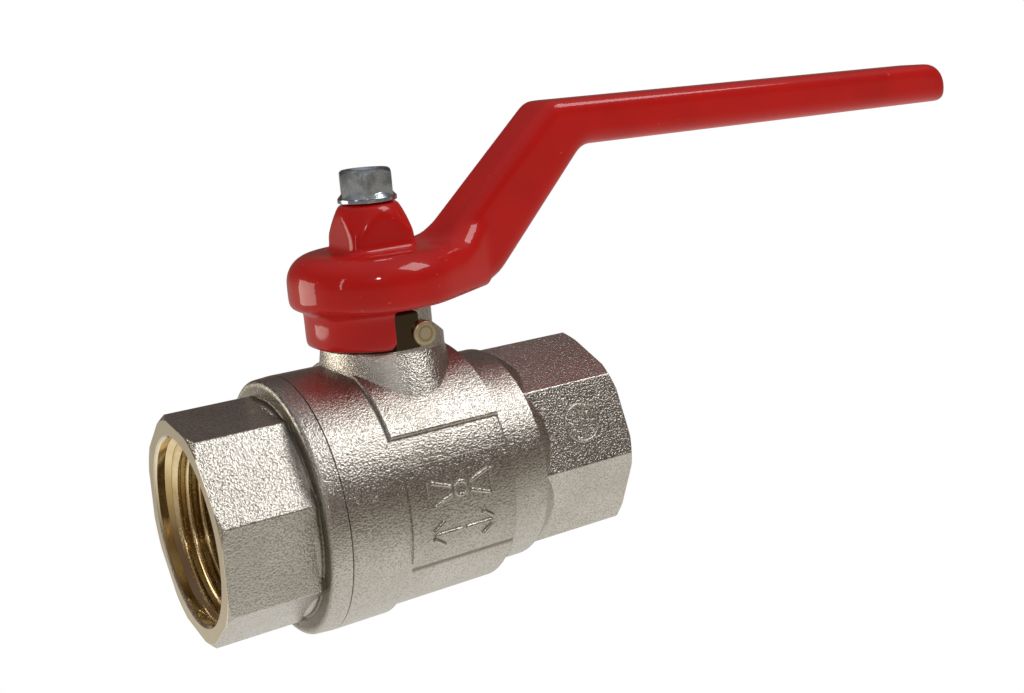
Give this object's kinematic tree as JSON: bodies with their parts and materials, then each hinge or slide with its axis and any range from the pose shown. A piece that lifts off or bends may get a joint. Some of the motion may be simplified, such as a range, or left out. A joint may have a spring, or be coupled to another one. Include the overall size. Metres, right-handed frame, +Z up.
{
  "type": "ball valve",
  "caption": "Full-bore brass ball valve with female pipe ports, octagonal ends and a red cranked lever that turns a quarter turn",
  "frame": {"origin": "centre of the ball, on the axis of the waterway and of the stem", "axes": "+X along the waterway towards the body's own port and the lever's grip, +Z up along the stem"},
  "size_m": [0.2037, 0.0508, 0.0962],
  "materials": {
    "nickel_plate": "matte",
    "bare_brass": "satin",
    "ball_plating": "polished",
    "seat_plastic": "satin",
    "seal_rubber": "matte",
    "red_enamel": "gloss",
    "zinc_plate": "satin"
  },
  "bodies": {
    "valve_body": {"body": "nickel_plate", "end_cap": "nickel_plate", "body_gasket": "seat_plastic", "inlet_seat": "seat_plastic", "outlet_seat": "seat_plastic", "thrust_washer": "seat_plastic", "lower_packing": "seat_plastic", "upper_packing": "seat_plastic", "gland_follower": "bare_brass", "gland_nut": "bare_brass", "stop_pin": "bare_brass"},
    "handle": {"stem": "bare_brass", "stem_o_ring": "seal_rubber", "lever": "red_enamel", "lever_bolt": "zinc_plate"},
    "closing_ball": {"ball": "ball_plating"}
  },
  "joints": [
    {"name": "lever_turn", "type": "hinge", "parent": "valve_body", "child": "handle", "pos_m": [0, 0, 0], "axis": [0, 0, -1], "range_deg": [0, 90]},
    {"name": "ball_turn", "type": "hinge", "parent": "valve_body", "child": "closing_ball", "pos_m": [0, 0, 0], "axis": [0, 0, -1], "range_deg": [0, 90]}
  ],
  "couplings": [
    {"joint": "ball_turn", "follows": "lever_turn", "ratio": 1}
  ]
}
